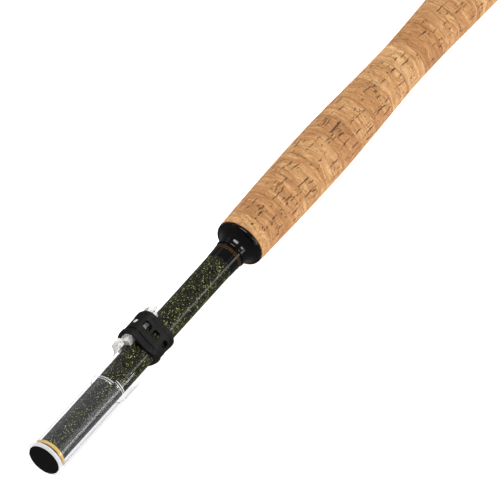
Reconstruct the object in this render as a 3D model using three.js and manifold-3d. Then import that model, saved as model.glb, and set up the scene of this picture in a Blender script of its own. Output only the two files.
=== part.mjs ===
// A telescopic rod, closed, with a full cork handle and its clear top cover: one THREE.Group of named meshes.
// Millimetres, +Z up. +X runs along the rod, from the butt cap to the tip end. s is a distance behind the tip
// end's face, so x = HALF - s. The rod lies on the two humps of its handle.
import * as THREE from "three";
import { mergeVertices } from "three/addons/utils/BufferGeometryUtils.js";
import Module from "manifold-3d";

const wasm = await Module();
wasm.setup();

// Stations along the rod, behind the tip end's face
const PLUG_FLANGE = 1.05;
const LIP_FRONT = 1.2;
const LIP_BACK = 2.15;
const MOUTH = 2.45;
const GOLD_RING_END = 4.35;
const BEAD_END = 3.3;
const LEDGE = 46.0;
const LEDGE_STEP = 1.2;
const COVER_MOUTH = 54.4;
const STRAP_FRONT = 68.6;
const STRAP_LENGTH = 15.0;
const HOLE_ROW = 76.6;
const TONGUE_END = 90.4;
const WRAP_FRONT = 126.5;
const LINE_STATIONS = [131.25, 132.3];
const CHECK_FRONT = 134.0;
const CORK_FRONT = 142.0;

// Handle: 18 cork rings of half an inch between two of a quarter
const RING = 12.7;
const TRIM_RING = 6.35;
const RINGS = 20;
const HANDLE = 2 * TRIM_RING + (RINGS - 2) * RING;
const GLUE = 0.04;
const NOSE_R = 11.15;
const HUMP_R = 12.1;
const WAIST_R = 10.2;
const HUMP_AT = 52;
const CORK_SIDES = 32;

// Butt end
const CAP_LENGTH = 10;
const CAP_R = 10.2;
const BUSH_R = 8.0;
const BUSH_LENGTH = 14.3;
const SPIGOT_R = 6.15;

const BUTT = CORK_FRONT + HANDLE;
const TOTAL = BUTT + CAP_LENGTH;
const HALF = TOTAL / 2;
const AXIS_Z = HUMP_R * Math.cos(Math.PI / CORK_SIDES);

// Base section
const BLANK_R = 6.15;
const BLANK_BUTT_R = 6.28;
const BLANK_END = BUTT - 7;
const BORE_MOUTH_R = 5.16;
const BORE_BUTT_R = 5.5;

// Sections inside it, each drawn out through the one before
const SECTIONS = 8;
const SECTION_R = 5.1;
const SECTION_STEP = 0.6;
const SECTION_TAPER = 0.25;
const SECTION_WALL = 0.3;
const SECTION_BUTT = BUTT - 10.3;
const SECTION_TIP = 16;

// Clear cover and strap. They sit turned about the rod's axis, with the tongue to one side.
const TONGUE_TURN = THREE.MathUtils.degToRad(65);
const COVER_DROP = 0.25;
const COVER_R = 8.4;
const COVER_BORE = 7.5;
const BEAD_R = 8.75;
const TONGUE_IN = 6.45;
const TONGUE_OUT = 8.0;
const SADDLE_R = 10.15;
const HOOK_R = 10.95;
const SADDLE_HALF = THREE.MathUtils.degToRad(46);
const STRAP_IN = 6.5;
const STRAP_THICK = 1.15;
const STRAP_HOLES = [35, 57, 88, 134, 180, 226, 272, 303, 325];
const POST_TURN = THREE.MathUtils.degToRad(35);

const at = (s) => HALF - s;

// ---- geometry helpers ----

// A closed profile of [s, radius] pairs, turned about the X axis, as a closed solid
function turned(profile, sides = 40, phase = Math.PI / sides) {
  let points = profile.map(([s, r]) => new THREE.Vector2(r, at(s)));
  if (THREE.ShapeUtils.area(points) < 0) points = points.reverse();
  const onAxis = points.some((p) => p.x === 0);
  if (!onAxis) points.push(points[0].clone());
  const geometry = new THREE.LatheGeometry(points, sides, phase);
  geometry.rotateZ(-Math.PI / 2);
  return geometry;
}

// A tube with plain ends between two stations; radii may differ at its ends
function tube(s0, s1, outer0, outer1, inner0, inner1, sides) {
  return turned([[s0, inner0], [s0, outer0], [s1, outer1], [s1, inner1]], sides);
}

function solidOf(geometry) {
  const bare = geometry.clone();
  bare.deleteAttribute("normal");
  bare.deleteAttribute("uv");
  const merged = mergeVertices(bare, 1e-4);
  const made = new wasm.Manifold(
    new wasm.Mesh({
      numProp: 3,
      vertProperties: new Float32Array(merged.attributes.position.array),
      triVerts: new Uint32Array(merged.index.array),
    }),
  );
  if (made.volume() < 0) throw new Error("a profile runs the wrong way round");
  return made;
}

function geometryOf(solid) {
  const mesh = solid.getMesh();
  const geometry = new THREE.BufferGeometry();
  geometry.setAttribute("position", new THREE.BufferAttribute(new Float32Array(mesh.vertProperties), 3));
  geometry.setIndex(new THREE.BufferAttribute(new Uint32Array(mesh.triVerts), 1));
  geometry.computeVertexNormals();
  return geometry;
}

// A flat outline in the rod's cross-section (y, z), extruded between two stations
function slab(outline, s0, s1, hole) {
  const shape = new THREE.Shape(outline.map(([y, z]) => new THREE.Vector2(y, z)));
  if (hole) shape.holes.push(new THREE.Path(hole.map(([y, z]) => new THREE.Vector2(y, z))));
  const geometry = new THREE.ExtrudeGeometry(shape, { depth: s1 - s0, bevelEnabled: false });
  // Extruded along +Z with the outline in XY: turn it so that (x, y, z) becomes (z, x, y)
  geometry.applyMatrix4(new THREE.Matrix4().set(0, 0, 1, at(s1), 1, 0, 0, 0, 0, 1, 0, 0, 0, 0, 0, 1));
  return solidOf(geometry);
}

// A side outline in (s, z), extruded across the rod to both sides
function profileBlock(outline, halfWidth) {
  const shape = new THREE.Shape(outline.map(([s, z]) => new THREE.Vector2(at(s), z)));
  const geometry = new THREE.ExtrudeGeometry(shape, { depth: 2 * halfWidth, bevelEnabled: false });
  geometry.applyMatrix4(new THREE.Matrix4().set(1, 0, 0, 0, 0, 0, -1, halfWidth, 0, 1, 0, 0, 0, 0, 0, 1));
  return solidOf(geometry);
}

// A top outline in (s, y), extruded up from the rod's axis
function planBlock(outline, z0, z1) {
  const shape = new THREE.Shape(outline.map(([s, y]) => new THREE.Vector2(at(s), y)));
  const geometry = new THREE.ExtrudeGeometry(shape, { depth: z1 - z0, bevelEnabled: false });
  geometry.translate(0, 0, z0);
  return solidOf(geometry);
}

function convexHull(points) {
  const sorted = [...points].sort((a, b) => a[0] - b[0] || a[1] - b[1]);
  const turn = (o, a, b) => (a[0] - o[0]) * (b[1] - o[1]) - (a[1] - o[1]) * (b[0] - o[0]);
  const half = (list) => {
    const out = [];
    for (const p of list) {
      while (out.length > 1 && turn(out[out.length - 2], out[out.length - 1], p) <= 1e-9) out.pop();
      out.push(p);
    }
    out.pop();
    return out;
  };
  return [...half(sorted), ...half(sorted.reverse())];
}

// The way a band lies round the rod and over the saddle, grown by some thickness
function bandOutline(grown) {
  const points = [];
  for (let i = 0; i < 40; i++) {
    const a = (i * Math.PI) / 20;
    points.push([(STRAP_IN + grown) * Math.sin(a), (STRAP_IN + grown) * Math.cos(a)]);
  }
  for (let i = -5; i <= 5; i++) {
    const a = (i / 5) * SADDLE_HALF;
    const r = SADDLE_R + 0.3 + grown;
    points.push([r * Math.sin(a), r * Math.cos(a)]);
  }
  return convexHull(points);
}

// ---- scene ----

const root = new THREE.Group();
root.name = "telescopic_rod";
const rod = new THREE.Group();
rod.position.z = AXIS_Z;
root.add(rod);
const coverGroup = new THREE.Group();
coverGroup.rotation.x = TONGUE_TURN;
rod.add(coverGroup);

function add(parent, name, geometry, color, roughness, metalness = 0, extra = {}) {
  const material = new THREE.MeshStandardMaterial({ color, roughness, metalness, ...extra });
  const mesh = new THREE.Mesh(geometry, material);
  mesh.name = name;
  parent.add(mesh);
  return mesh;
}

const GREEN_BLACK = 0x1c2018;
const BLACK = 0x121212;
const GOLD = 0xd9a441;

// ---- base section and its fittings ----

add(
  rod,
  "blank_base",
  turned([
    [MOUTH, BORE_MOUTH_R],
    [MOUTH, BLANK_R],
    [CORK_FRONT, BLANK_R + 0.04],
    [BLANK_END, BLANK_BUTT_R],
    [BLANK_END, BORE_BUTT_R],
  ]),
  GREEN_BLACK,
  0.25,
);
add(rod, "fore_wrap", tube(WRAP_FRONT, CHECK_FRONT - 0.1, 6.34, 6.42, 6.24, 6.24), BLACK, 0.15);
LINE_STATIONS.forEach((s, i) => {
  const name = i === 0 ? "gold_line_front" : "gold_line_rear";
  add(rod, name, tube(s, s + 0.55, 6.56, 6.56, 6.46, 6.46), GOLD, 0.3, 1);
});

// Trumpet-shaped winding check: a quarter of an ellipse from the neck out to the rim
const flare = [];
for (let i = 0; i <= 6; i++) {
  const a = (i / 6) * (Math.PI / 2);
  flare.push([CHECK_FRONT + 0.6 + 5.7 * Math.sin(a), 6.95 + 3.65 * (1 - Math.cos(a))]);
}
add(
  rod,
  "winding_check",
  turned([
    [CHECK_FRONT, 6.5],
    [CHECK_FRONT, 6.8],
    ...flare,
    [CORK_FRONT - 1.5, 10.82],
    [CORK_FRONT - 0.9, 10.88],
    [CORK_FRONT - 0.25, 10.82],
    [CORK_FRONT - GLUE, 10.6],
    [CORK_FRONT - GLUE, 6.5],
  ]),
  BLACK,
  0.12,
);

// ---- cork handle ----

// Radius of the handle at a distance behind its front face: it is the same seen from its two ends
function handleRadius(d) {
  const t = Math.min(d, HANDLE - d);
  if (t < HUMP_AT) return NOSE_R + (HUMP_R - NOSE_R) * Math.sin((Math.PI / 2) * (t / HUMP_AT));
  const half = HANDLE / 2 - HUMP_AT;
  const fall = (1 + Math.cos((Math.PI * (t - HUMP_AT)) / half)) / 2;
  return WAIST_R + (HUMP_R - WAIST_R) * Math.pow(Math.max(fall, 0), 0.9);
}

const CORK_TONES = [0xd8ad74, 0xcf9c62, 0xdcb47e, 0xc4905a];
let d0 = 0;
for (let i = 0; i < RINGS; i++) {
  const length = i === 0 || i === RINGS - 1 ? TRIM_RING : RING;
  const s0 = CORK_FRONT + d0;
  const s1 = s0 + length - GLUE;
  const r0 = handleRadius(d0);
  const r1 = handleRadius(d0 + length);
  const bush = BUTT - BUSH_LENGTH - 0.3;
  const narrow = 6.45;
  const wide = BUSH_R + 0.15;
  const profile = [[s0, s0 > bush ? wide : narrow], [s0, r0], [s1, r1]];
  if (s0 > bush || s1 > bush) profile.push([s1, wide]);
  else profile.push([s1, narrow]);
  if (s0 < bush && s1 > bush) profile.push([bush, wide], [bush, narrow]);
  const name = "cork_ring_" + String(i + 1).padStart(2, "0");
  add(rod, name, turned(profile, CORK_SIDES), CORK_TONES[i % CORK_TONES.length], 0.85);
  d0 += length;
}

// ---- butt end: bush glued round the blank, screw cap with a coin slot, rubber pad inside ----

add(
  rod,
  "butt_bush",
  turned([
    [BUTT - BUSH_LENGTH, 6.45],
    [BUTT - BUSH_LENGTH, BUSH_R],
    [BUTT - 0.1, BUSH_R],
    [BUTT - 0.1, 6.45],
  ]),
  0x9a9a9a,
  0.35,
  1,
);
const cap = solidOf(
  turned([
    [BUTT - 6.6, 0],
    [BUTT - 6.6, SPIGOT_R - 0.4],
    [BUTT - 6.2, SPIGOT_R],
    [BUTT + 0.1, SPIGOT_R],
    [BUTT + 0.1, CAP_R - 0.4],
    [BUTT + 0.5, CAP_R],
    [TOTAL - 1.2, CAP_R],
    [TOTAL - 0.4, CAP_R - 0.4],
    [TOTAL, CAP_R - 1.4],
    [TOTAL, 0],
  ]),
);
const slot = solidOf(new THREE.BoxGeometry(3.0, 13, 1.8).translate(-HALF, 0, 0));
add(rod, "butt_cap", geometryOf(cap.subtract(slot)), 0x18181a, 0.3, 0.6);
add(rod, "damper_pad", turned([[BUTT - 9.9, 0], [BUTT - 9.9, 4.9], [BUTT - 6.9, 4.9], [BUTT - 6.9, 0]], 24), BLACK, 0.9);

// ---- sections inside the base, the last a solid tip ----

for (let k = 0; k < SECTIONS; k++) {
  const r = SECTION_R - k * SECTION_STEP;
  const tip = SECTION_TIP - 0.45 * k;
  const tr = r - SECTION_TAPER;
  const solid = k === SECTIONS - 1;
  const geometry = solid
    ? turned([[tip, 0], [tip, 0.4], [SECTION_BUTT, r], [SECTION_BUTT, 0]], 16)
    : tube(tip, SECTION_BUTT, tr, r, tr - SECTION_WALL, r - SECTION_WALL, 24);
  add(rod, "section_" + (k + 2), geometry, 0x23261f, 0.3);
}

// ---- plug, clear cover with its ring, tongue, hooks and post, and the strap ----

const onCover = (geometry) => geometry.translate(0, 0, -COVER_DROP);
add(
  coverGroup,
  "nose_plug",
  onCover(
    turned([
      [0, 0],
      [0.03, 2.6],
      [0.12, 4.8],
      [0.24, 6.5],
      [0.45, 7.2],
      [0.75, 7.4],
      [PLUG_FLANGE, 7.3],
      [PLUG_FLANGE, 4.75],
      [11.6, 4.6],
      [12, 4.3],
      [12, 0],
    ]),
  ),
  BLACK,
  0.7,
);

// Gold ring pressed into the cover's bore, behind its end ring. It is wide enough to pass over the rod.
add(
  coverGroup,
  "cover_ring",
  onCover(tube(MOUTH, GOLD_RING_END, COVER_BORE - 0.08, COVER_BORE - 0.08, 6.6, 6.6)),
  GOLD,
  0.3,
  1,
);

const shell = solidOf(
  onCover(
    turned(
      [
        [LIP_FRONT, 6.0],
        [LIP_FRONT, BEAD_R - 0.45],
        [LIP_FRONT + 0.45, BEAD_R],
        [BEAD_END - 0.5, BEAD_R],
        [BEAD_END, COVER_R],
        [COVER_MOUTH - 0.5, COVER_R],
        [COVER_MOUTH, COVER_R - 0.35],
        [COVER_MOUTH, COVER_BORE],
        [LIP_BACK, COVER_BORE],
        [LIP_BACK, 6.0],
      ],
      40,
    ),
  ),
);
// The bore opens out at a ledge, deeper on one side than on the other
const relief = (s) => solidOf(onCover(tube(s, COVER_MOUTH + 1, 7.75, 7.75, 5, 5, 40)));
const sideBlock = (y) => {
  const box = new THREE.BoxGeometry(60, 40, 40);
  return solidOf(box.translate(at(COVER_MOUTH), y, 0));
};
const ledge = relief(LEDGE).intersect(sideBlock(20)).add(relief(LEDGE + LEDGE_STEP).intersect(sideBlock(-20)));
// Tongue: a strip of a tube about the rod's own axis, cut to a plan outline that narrows behind the mouth
const tonguePlan = [];
for (const side of [1, -1]) {
  const edge = [
    [COVER_MOUTH - 3.5, 7.3],
    [COVER_MOUTH + 0.5, 6.6],
    [COVER_MOUTH + 3, 5.1],
    [COVER_MOUTH + 6, 4.3],
    [TONGUE_END - 1.2, 4.3],
    [TONGUE_END, 3.2],
  ].map(([s, y]) => [s, y * side]);
  tonguePlan.push(...(side === 1 ? edge : edge.reverse()));
}
const strip = solidOf(tube(COVER_MOUTH - 3.5, TONGUE_END, TONGUE_OUT, TONGUE_OUT, TONGUE_IN, TONGUE_IN, 48));
const tongue = strip.intersect(planBlock(tonguePlan, 0.5, 12));
// Saddle under the strap: a thick arc, and a hook in front of and behind the strap
const wedge = [[0, 0]];
for (let i = -4; i <= 4; i++) {
  const a = (i / 4) * SADDLE_HALF;
  wedge.push([30 * Math.sin(a), 30 * Math.cos(a)]);
}
const arc = (s0, s1, inner, outer) =>
  solidOf(tube(s0, s1, outer, outer, inner, inner, 48)).intersect(slab(wedge.slice().reverse(), s0 - 1, s1 + 1));
const saddle = arc(66.2, 86.2, TONGUE_IN, SADDLE_R - 0.9)
  .add(arc(69.3, 73.2, SADDLE_R - 1.5, SADDLE_R))
  .add(arc(78.8, 82.9, SADDLE_R - 1.5, SADDLE_R));
const hooks = profileBlock(
  [
    [60.5, 7.2],
    [62.8, 8.2],
    [63.9, 10.2],
    [64.6, HOOK_R],
    [66.5, HOOK_R - 0.2],
    [66.9, 9.0],
    [67.2, 7.2],
  ].reverse(),
  2.9,
).add(
  profileBlock(
    [
      [85.2, 7.2],
      [85.5, HOOK_R - 0.2],
      [86.3, HOOK_R],
      [88.4, 8.9],
      [TONGUE_END - 0.2, 8.5],
      [TONGUE_END - 0.2, 7.2],
    ].reverse(),
    2.9,
  ),
);
const postSolid = solidOf(new THREE.BoxGeometry(2.6, 2.3, 3.4)
  .translate(at(HOLE_ROW), 0, SADDLE_R - 0.35)
  .rotateX(-POST_TURN));
const coverSolid = shell.subtract(ledge).add(tongue).add(saddle).add(hooks).add(postSolid);
add(coverGroup, "cover_tube", geometryOf(coverSolid), 0xeef2f4, 0.05, 0, { transparent: true, opacity: 0.35 });

const band = (s0, s1, inner, outer) => slab(bandOutline(outer), s0, s1, bandOutline(inner).reverse());
const STRAP_END = STRAP_FRONT + STRAP_LENGTH;
let strap = band(STRAP_FRONT, STRAP_FRONT + 3.1, 0, STRAP_THICK + 0.35)
  .add(band(STRAP_FRONT + 3.0, STRAP_FRONT + 4.5, 0, STRAP_THICK - 0.35))
  .add(band(STRAP_FRONT + 4.4, STRAP_END - 2.0, 0, STRAP_THICK))
  .add(band(STRAP_END - 2.1, STRAP_END, 0, STRAP_THICK + 0.15));
const fill = band(STRAP_FRONT + 3.0, STRAP_FRONT + 4.5, 0, STRAP_THICK + 0.05)
  .intersect(solidOf(new THREE.BoxGeometry(30, 40, 20).translate(at(STRAP_FRONT), 0, -14)));
strap = strap.add(fill);
for (const degrees of STRAP_HOLES) {
  const squarish = [];
  for (let i = 0; i < 12; i++) {
    const a = (i * Math.PI) / 6 + Math.PI / 12;
    const squeeze = 1 / Math.pow(Math.pow(Math.abs(Math.cos(a)), 4) + Math.pow(Math.abs(Math.sin(a)), 4), 0.25);
    squarish.push(new THREE.Vector2(1.85 * squeeze * Math.cos(a), 1.7 * squeeze * Math.sin(a)));
  }
  const punch = new THREE.ExtrudeGeometry(new THREE.Shape(squarish), { depth: 20, bevelEnabled: false });
  punch.translate(at(HOLE_ROW), 0, 0);
  punch.rotateX(-THREE.MathUtils.degToRad(degrees));
  strap = strap.subtract(solidOf(punch));
}
add(coverGroup, "strap", geometryOf(strap), BLACK, 0.75);

export default root;
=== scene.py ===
"""Closed telescopic rod with a cork handle and a clear strapped tip cover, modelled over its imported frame."""

import math

import bpy
from bpy.props import FloatProperty, FloatVectorProperty, IntProperty, PointerProperty
from mathutils import Matrix, Vector


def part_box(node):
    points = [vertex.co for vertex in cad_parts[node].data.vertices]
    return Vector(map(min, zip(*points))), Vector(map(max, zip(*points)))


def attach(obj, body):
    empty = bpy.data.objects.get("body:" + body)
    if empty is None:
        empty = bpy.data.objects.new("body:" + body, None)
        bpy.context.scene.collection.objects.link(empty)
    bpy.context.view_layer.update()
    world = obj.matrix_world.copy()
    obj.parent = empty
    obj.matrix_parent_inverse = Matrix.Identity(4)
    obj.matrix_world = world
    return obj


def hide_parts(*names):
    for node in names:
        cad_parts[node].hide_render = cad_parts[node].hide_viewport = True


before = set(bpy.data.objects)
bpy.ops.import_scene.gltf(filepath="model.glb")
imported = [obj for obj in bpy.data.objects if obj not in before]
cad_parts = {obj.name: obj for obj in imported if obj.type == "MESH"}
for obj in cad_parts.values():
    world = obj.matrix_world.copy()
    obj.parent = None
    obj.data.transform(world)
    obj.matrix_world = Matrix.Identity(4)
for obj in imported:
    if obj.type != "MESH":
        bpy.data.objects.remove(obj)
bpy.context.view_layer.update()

bl_info = {
    "name": "Telescopic Rod",
    "version": (1, 0, 0),
    "blender": (4, 5, 0),
    "location": "View3D > Sidebar > Rod",
    "description": "Builds a closed telescopic rod with a cork handle and a clear tip cover",
    "category": "Add Mesh",
}

MM = 0.001
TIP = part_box("nose_plug")[1][0]
BLANK_LOW, BLANK_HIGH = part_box("blank_base")
AXIS_Z = (BLANK_LOW[2] + BLANK_HIGH[2]) / 2
TONGUE_TURN = math.radians(65)
COVER_DROP = 0.25
CAMERA_DISTANCE = 8.0


# ---------------------------------------------------------------- sizes and colours


def length(name, text, mm):
    """A length property, given here in millimetres."""
    return FloatProperty(name=name, description=text, default=mm * MM, unit="LENGTH", subtype="DISTANCE", precision=5)


def colour(name, text, rgb):
    """A colour property."""
    return FloatVectorProperty(name=name, description=text, default=rgb, size=3, subtype="COLOR", min=0.0, max=1.0)


class RodSizes(bpy.types.PropertyGroup):
    """The sizes a maker would change."""

    hump_radius: length("Hump radius", "Half the handle's width at its two humps", 12.04)
    waist_radius: length("Waist radius", "Half the handle's width at its waist", 10.15)
    nose_radius: length("Cork front radius", "Half the handle's width at its two ends", 11.1)
    hump_place: length("Hump place", "Distance of a hump behind the handle's end", 52)
    blank_radius: length("Blank radius", "Half the base section's width at its mouth", 6.15)
    cover_radius: length("Cover radius", "Half the clear cover's width", 8.45)
    cover_bore: length("Cover bore", "Half the clear cover's inner width", 7.5)
    strap_thickness: length("Strap thickness", "Thickness of the rubber strap", 1.15)
    strap_width: length("Strap width", "Width of the rubber strap along the rod", 15)
    cork_pits: length("Cork pits", "Depth of the worn pits in the cork", 0.14)
    sides: IntProperty(name="Sides", description="Faces round each turned piece", default=128, min=32, max=256)


class RodColours(bpy.types.PropertyGroup):
    """The colours a maker would change."""

    blank: colour("Blank", "Dark lacquer of the base section", (0.0045, 0.0055, 0.003))
    flake_gold: colour("Gold flake", "Gold flakes in the lacquer", (0.55, 0.50, 0.16))
    flake_green: colour("Green flake", "Green flakes in the lacquer", (0.10, 0.13, 0.04))
    cork: colour("Cork", "Middle tone of the cork", (0.53, 0.27, 0.11))
    cork_pale: colour("Pale cork", "Lightest tone of the cork", (0.78, 0.50, 0.245))
    cork_red: colour("Brown cork", "Darkest tone of the cork", (0.36, 0.155, 0.06))
    crack: colour("Cork crack", "Inside of the cracks and pits", (0.055, 0.026, 0.016))
    gold: colour("Gold", "Gold ring and gold lines", (1.0, 0.65, 0.17))
    black: colour("Black", "Gloss black of the wrap and the winding check", (0.002, 0.002, 0.002))
    rubber: colour("Rubber", "Rubber of the strap and the damper pad", (0.0055, 0.0055, 0.005))
    clear: colour("Clear plastic", "Tint of the clear cover", (0.98, 0.985, 0.98))


def size(name):
    """A size in millimetres."""
    return getattr(bpy.context.scene.rod_sizes, name) / MM


def paint(name):
    """One of the rod's colours, opaque."""
    return (*getattr(bpy.context.scene.rod_colours, name), 1.0)


def shade(k, rgb):
    """A colour made lighter or darker by a factor."""
    return (*(k * c for c in rgb[:3]), 1)


def at(s):
    """Place along the rod, in metres, of a point s millimetres behind the tip end's face."""
    return TIP - s * MM


def ends(name):
    """How far a CAD node's front and back ends lie behind the tip end's face, in millimetres."""
    low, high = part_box(name)
    return (TIP - high[0]) / MM, (TIP - low[0]) / MM


# ---------------------------------------------------------------- bench tools


def clear_bench():
    """Leaves edit mode with nothing selected."""
    if bpy.context.object and bpy.context.object.mode != "OBJECT":
        bpy.ops.object.mode_set(mode="OBJECT")
    bpy.ops.object.select_all(action="DESELECT")


def take_up(piece):
    """Selects one piece and makes it active."""
    clear_bench()
    piece.select_set(True)
    bpy.context.view_layer.objects.active = piece


def draw_line(name, spots, closed):
    """Starts a piece as one point and draws a line through the spots, in edit mode."""
    clear_bench()
    bpy.ops.mesh.primitive_plane_add(size=0.01, location=(0, 0, 0))
    piece = bpy.context.object
    piece.name = name
    piece.data.name = name
    bpy.ops.object.mode_set(mode="EDIT")
    bpy.ops.mesh.select_mode(type="VERT")
    bpy.ops.mesh.select_all(action="SELECT")
    bpy.ops.mesh.merge(type="CENTER")
    bpy.ops.transform.translate(value=spots[0])
    path = list(spots) + ([spots[0]] if closed else [])
    for here, there in zip(path, path[1:]):
        bpy.ops.mesh.extrude_vertices_move(TRANSFORM_OT_translate={"value": Vector(there) - Vector(here)})
    bpy.ops.mesh.select_all(action="SELECT")
    bpy.ops.mesh.remove_doubles(threshold=1e-7)
    bpy.ops.mesh.select_all(action="SELECT")
    return piece


def close_up(piece):
    """Merges doubles, turns the faces outwards and leaves edit mode."""
    bpy.ops.mesh.select_all(action="SELECT")
    bpy.ops.mesh.remove_doubles(threshold=2e-7)
    bpy.ops.mesh.select_all(action="SELECT")
    bpy.ops.mesh.normals_make_consistent(inside=False)
    bpy.ops.object.mode_set(mode="OBJECT")
    return piece


def held(outline, closed):
    """Adds a point close to each end of every long straight run, so that the shading stays true along it."""
    made = []
    path = list(outline) + ([outline[0]] if closed else [])
    for a, b in zip(path, path[1:]):
        made.append(a)
        run = math.dist(a, b)
        if run > 1.5:
            made += [tuple(p + (q - p) * t for p, q in zip(a, b)) for t in (0.08 / run, 1 - 0.08 / run)]
    return made if closed else made + [path[-1]]


def turn(name, outline, sides=None, sweep=360.0, closed=True):
    """Turns an outline of (mm behind the tip, mm from the axis) about the X axis. A part turn is centred on +Z."""
    sides = sides or bpy.context.scene.rod_sizes.sides
    spots = [Vector((at(s), 0, r * MM)) for s, r in held(outline, closed)]
    piece = draw_line(name, spots, closed)
    steps = max(2, round(sides * sweep / 360))
    bpy.ops.mesh.spin(steps=steps, angle=math.radians(sweep), center=(0, 0, 0), axis=(1, 0, 0))
    if sweep < 360:
        bpy.ops.mesh.select_all(action="DESELECT")
        bpy.ops.mesh.select_mode(type="EDGE")
        bpy.ops.mesh.select_non_manifold(extend=False, use_wire=False, use_boundary=True, use_multi_face=False)
        bpy.ops.mesh.fill_holes(sides=0)
        bpy.ops.mesh.select_mode(type="VERT")
    close_up(piece)
    if sweep < 360:
        centre = sum((v.co for v in piece.data.vertices), Vector()) / len(piece.data.vertices)
        settle(piece, turn_by=math.atan2(centre.y, centre.z))
    return piece


def plate(name, spots, thickness):
    """A flat outline, filled and extruded by a vector."""
    piece = draw_line(name, spots, True)
    bpy.ops.mesh.edge_face_add()
    bpy.ops.mesh.extrude_region_move(TRANSFORM_OT_translate={"value": thickness})
    return close_up(piece)


def side_plate(name, outline, half):
    """A plate with an outline of (mm behind the tip, mm above the axis), and half its width to each side."""
    spots = [Vector((at(s), -half * MM, z * MM)) for s, z in outline]
    return plate(name, spots, Vector((0, 2 * half * MM, 0)))


def settle(piece, turn_by=0.0, lift=0.0, drop=0.0):
    """Lowers a piece, turns it about the X axis and moves it up, and puts these moves in its mesh."""
    take_up(piece)
    for turned, height in ((0.0, -drop * MM), (turn_by, lift)):
        piece.rotation_euler = (turned, 0, 0)
        piece.location = (0, 0, height)
        bpy.ops.object.transform_apply(location=True, rotation=True, scale=True)
    return piece


def apply_modifier(piece, kind, **settings):
    """Gives a piece a modifier and applies it."""
    take_up(piece)
    modifier = piece.modifiers.new(kind.title(), kind)
    for key, value in settings.items():
        setattr(modifier, key, value)
    bpy.ops.object.modifier_apply(modifier=modifier.name)
    return piece


def combine(piece, tool, operation):
    """Cuts, joins or keeps what is common, and takes the tool away."""
    apply_modifier(piece, "BOOLEAN", operation=operation, object=tool, solver="EXACT")
    bpy.data.objects.remove(tool)
    return piece


def soften(piece, width, segments=3, angle=35.0):
    """Rounds the edges that are sharper than an angle in degrees."""
    return apply_modifier(
        piece, "BEVEL", width=width * MM, segments=segments, limit_method="ANGLE",
        angle_limit=math.radians(angle), use_clamp_overlap=True,
    )


def hand_over(piece, body, slot_name, finish, *nodes, smooth=32.0):
    """Shades a finished piece, gives it its material and its body, and lets it stand for its CAD nodes."""
    take_up(piece)
    bpy.ops.object.shade_smooth_by_angle(angle=math.radians(smooth))
    piece.data.materials.clear()
    for material in finish if isinstance(finish, tuple) else (finish,):
        piece.data.materials.append(material)
    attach(piece, body)
    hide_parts(*nodes)


def pick_faces(piece, wanted):
    """Selects the faces for which wanted(centre, normal) is true, and leaves the piece in edit mode."""
    take_up(piece)
    bpy.ops.object.mode_set(mode="EDIT")
    bpy.ops.mesh.select_mode(type="FACE")
    bpy.ops.mesh.select_all(action="DESELECT")
    bpy.ops.object.mode_set(mode="OBJECT")
    for face in piece.data.polygons:
        face.select = bool(wanted(face.center, face.normal))
    bpy.ops.object.mode_set(mode="EDIT")


# ---------------------------------------------------------------- finishes


def fresh(name):
    """A new material, its node tree and its shader."""
    material = bpy.data.materials.new(name)
    material.use_nodes = True
    tree = material.node_tree
    return material, tree, tree.nodes["Principled BSDF"]


def node(tree, kind, inputs=(), **settings):
    """A node with its settings. An input is a value, or another node's output to be linked."""
    made = tree.nodes.new(kind)
    for key, value in settings.items():
        setattr(made, key, value)
    for key, value in dict(inputs).items():
        if isinstance(value, bpy.types.NodeSocket):
            tree.links.new(value, made.inputs[key])
        else:
            made.inputs[key].default_value = value
    return made


def maths(tree, operation, a, b=0.0, c=0.0, clamp=False):
    """One step of arithmetic."""
    return node(tree, "ShaderNodeMath", {0: a, 1: b, 2: c}, operation=operation, use_clamp=clamp).outputs[0]


def vector(tree, operation, a, b):
    """One step of arithmetic on two vectors."""
    return node(tree, "ShaderNodeVectorMath", {0: a, 1: b}, operation=operation).outputs[0]


def times(tree, a, b, clamp=False):
    """The product of two values."""
    return maths(tree, "MULTIPLY", a, b, clamp=clamp)


def grid(tree, stretch=(1, 1, 1), shift=None):
    """Object coordinates in millimetres, stretched, with an optional shift."""
    coords = node(tree, "ShaderNodeTexCoord").outputs["Object"]
    scale = tuple(1000 * k for k in stretch)
    placed = node(tree, "ShaderNodeMapping", {"Vector": coords, "Scale": scale}).outputs[0]
    if shift is None:
        return placed
    return vector(tree, "ADD", placed, shift)


def slope(tree, value, places, levels):
    """A value that goes from one level to another between two places of a pattern."""
    return ramp(tree, value, [(place, grey(level)) for place, level in zip(places, levels)])


def ramp(tree, value, stops):
    """A colour ramp through stops of (place, colour)."""
    made = node(tree, "ShaderNodeValToRGB", {"Fac": value})
    elements = made.color_ramp.elements
    while len(elements) < len(stops):
        elements.new(0.5)
    for element, (place, rgba) in zip(elements, stops):
        element.position = place
        element.color = rgba if len(rgba) == 4 else (*rgba, 1)
    return made.outputs["Color"]


def grey(v):
    """An even grey."""
    return (v, v, v, 1)


def blend_colour(tree, share, a, b):
    """Colour a, with a share of colour b over it."""
    return node(tree, "ShaderNodeMix", {0: share, 6: a, 7: b}, data_type="RGBA", clamp_result=True).outputs[2]


def noise(tree, spot, scale, detail=2.0, roughness=0.5, distortion=0.0):
    """A cloudy pattern."""
    return node(
        tree, "ShaderNodeTexNoise",
        {"Vector": spot, "Scale": scale, "Detail": detail, "Roughness": roughness, "Distortion": distortion},
    ).outputs["Fac"]


def bump(tree, shader, height, depth_mm, strength=1.0):
    """Fine relief from a pattern."""
    made = node(tree, "ShaderNodeBump", {"Height": height, "Distance": depth_mm * MM, "Strength": strength})
    tree.links.new(made.outputs[0], shader.inputs["Normal"])


def dial(shader, socket, value):
    """Sets one of the shader's own values."""
    shader.inputs[socket].default_value = value


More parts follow.
